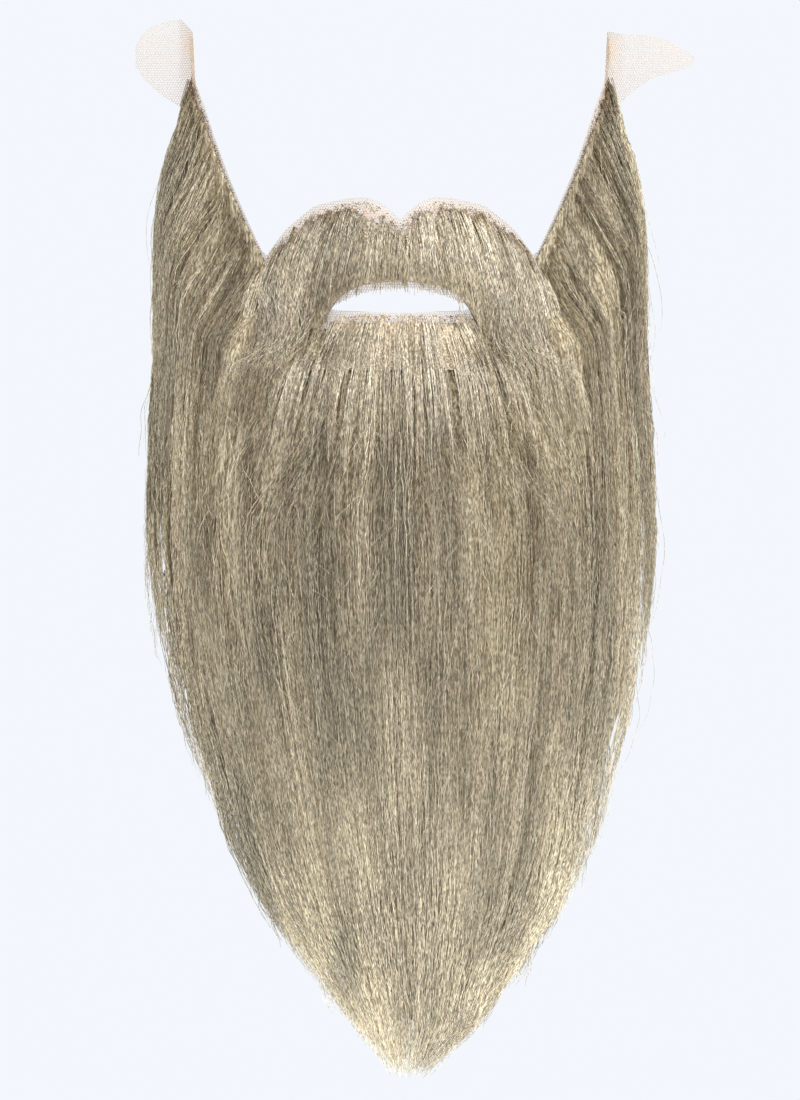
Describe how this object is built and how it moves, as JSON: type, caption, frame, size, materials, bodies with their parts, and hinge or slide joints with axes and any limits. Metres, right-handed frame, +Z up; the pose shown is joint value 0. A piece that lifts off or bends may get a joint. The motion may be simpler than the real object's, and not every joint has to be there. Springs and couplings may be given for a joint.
{
  "type": "fake beard",
  "caption": "Full lace fake beard with moustache, lip patch, sideburns and a long pointed chin beard of ash-blond hair, held in its worn shape.",
  "frame": {"origin": "inner face of the lace at the middle of the upper lip, where the beard seats on the face", "axes": "+X to the viewer's right across the face, +Y back into the head, +Z up"},
  "size_m": [0.206, 0.1406, 0.3836],
  "materials": {
    "lace": "fine nude hexagonal lace net with knotted hair roots",
    "moustache_hair": "fine pale ash-blond hair with a soft sheen",
    "beard_hair": "fine ash-blond hair, paler and thinner towards the tips"
  },
  "bodies": {
    "root": {"lace_base": "lace", "moustache_left": "moustache_hair", "moustache_right": "moustache_hair", "lip_patch": "moustache_hair", "sideburn_left": "beard_hair", "sideburn_right": "beard_hair", "chin_beard": "beard_hair"}
  },
  "joints": []
}
